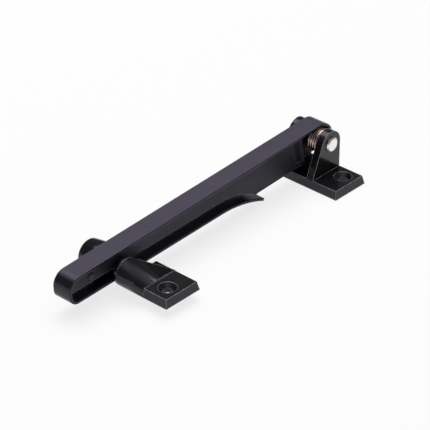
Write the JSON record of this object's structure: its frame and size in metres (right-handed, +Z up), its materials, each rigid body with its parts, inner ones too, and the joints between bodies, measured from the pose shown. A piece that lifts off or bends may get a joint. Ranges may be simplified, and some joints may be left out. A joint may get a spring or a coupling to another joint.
{
  "type": "window safety latch",
  "caption": "Slotted latch arm on a sprung two-eared hinge bracket, held along its slot by a headed stud on a second screw-on bracket.",
  "frame": {"origin": "middle of the hinge bracket's underside, where it is screwed down", "axes": "+X along the latch from the stud end to the hinge end, +Z up off the mounting face, -Y towards the room"},
  "size_m": [0.1641, 0.0554, 0.0253],
  "materials": {
    "black_cast": "semi-gloss black enamel on cast zinc",
    "black_steel": "gloss black over turned steel",
    "bright_steel": "bright plated steel",
    "copper_wire": "copper-washed spring wire",
    "dark_nylon": "dark nylon"
  },
  "bodies": {
    "hinge_bracket": {"hinge_bracket": "black_cast", "pivot_pin": "bright_steel", "torsion_spring": "copper_wire", "thrust_washer": "bright_steel"},
    "arm": {"arm": "black_cast"},
    "glide_bush": {"glide_bush": "dark_nylon"},
    "stud_bracket": {"stud_bracket": "black_cast", "stud": "black_steel"}
  },
  "joints": [
    {"name": "arm_pivot", "type": "hinge", "parent": "hinge_bracket", "child": "arm", "pos_m": [0.00295, 0, 0.0176], "axis": [0, 1, 0], "range_deg": [0, 90], "stiffness_Nm_per_rad": 0.12, "springref_deg": -28.65, "deforming": ["torsion_spring"]},
    {"name": "stud_slide", "type": "slide", "parent": "arm", "child": "glide_bush", "axis": [0.9997, 0, 0.0262], "range_m": [-0.0245, 0.0615]},
    {"name": "stud_swivel", "type": "hinge", "parent": "glide_bush", "child": "stud_bracket", "pos_m": [-0.12337, 0, 0.01069], "axis": [0, 1, 0], "continuous": true}
  ]
}
